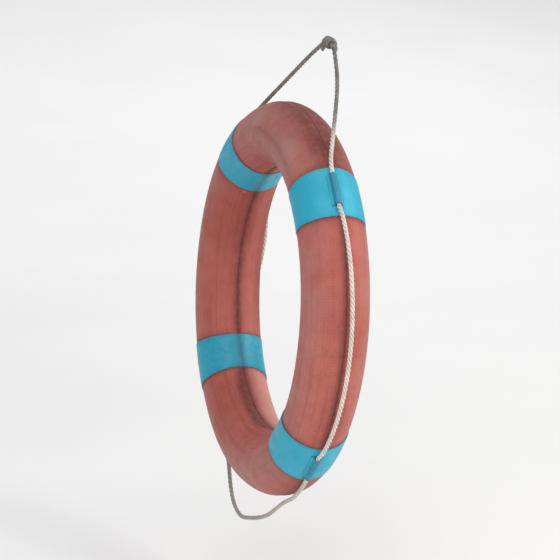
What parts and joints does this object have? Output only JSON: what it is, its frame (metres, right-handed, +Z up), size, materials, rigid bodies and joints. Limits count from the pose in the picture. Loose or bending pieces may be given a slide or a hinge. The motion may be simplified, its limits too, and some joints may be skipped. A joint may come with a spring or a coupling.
{
  "type": "ring lifebuoy",
  "caption": "Ring lifebuoy with a two-part hard shell over foam, blue bands and saddles that hold an off-white grab line, hung by the knotted top loop of that line.",
  "frame": {"origin": "the hanging point: where a hook bears on the line, right under the knot at the top of the hanging loop", "axes": "+Z up, towards the hook; +Y from the front face of the ring to its back; +X across the ring, to the right seen from the front"},
  "size_m": [0.7536, 0.1475, 0.9295],
  "materials": {
    "shell": "satin",
    "foam": "matte",
    "plug": "satin",
    "band": "satin",
    "keeper": "satin",
    "rope": "matte"
  },
  "bodies": {
    "hanger": {"hanging_line_left": "rope", "hanging_line_right": "rope", "hanging_knot": "rope"},
    "ring": {"front_shell": "shell", "back_shell": "shell", "foam_core": "foam", "fill_plug": "plug", "vent_plug": "plug", "band_upper_right": "band", "band_upper_left": "band", "band_lower_left": "band", "band_lower_right": "band", "rope_keeper_upper_right": "keeper", "rope_keeper_upper_left": "keeper", "rope_keeper_lower_left": "keeper", "rope_keeper_lower_right": "keeper", "held_line_upper_right": "rope", "held_line_upper_left": "rope", "held_line_lower_left": "rope", "held_line_lower_right": "rope"},
    "right_loop": {"grab_loop_right": "rope"},
    "left_loop": {"grab_loop_left": "rope"},
    "bottom_loop": {"grab_loop_bottom": "rope"}
  },
  "joints": [
    {"name": "ring_swing", "type": "hinge", "parent": "hanger", "child": "ring", "pos_m": [0.00128, -0.051, -0.17384], "axis": [1, 0, -0.0044], "range_deg": [-28, 42]},
    {"name": "right_loop_swing", "type": "hinge", "parent": "ring", "child": "right_loop", "pos_m": [0.28568, -0.051, -0.44728], "axis": [-0.0654, 0, 0.9979], "range_deg": [-45, 50]},
    {"name": "left_loop_swing", "type": "hinge", "parent": "ring", "child": "left_loop", "pos_m": [-0.28459, -0.051, -0.4461], "axis": [-0.0698, 0, -0.9976], "range_deg": [-58, 40]},
    {"name": "bottom_loop_swing", "type": "hinge", "parent": "ring", "child": "bottom_loop", "pos_m": [0, -0.051, -0.72576], "axis": [-1, 0, 0], "range_deg": [-45, 45]}
  ]
}
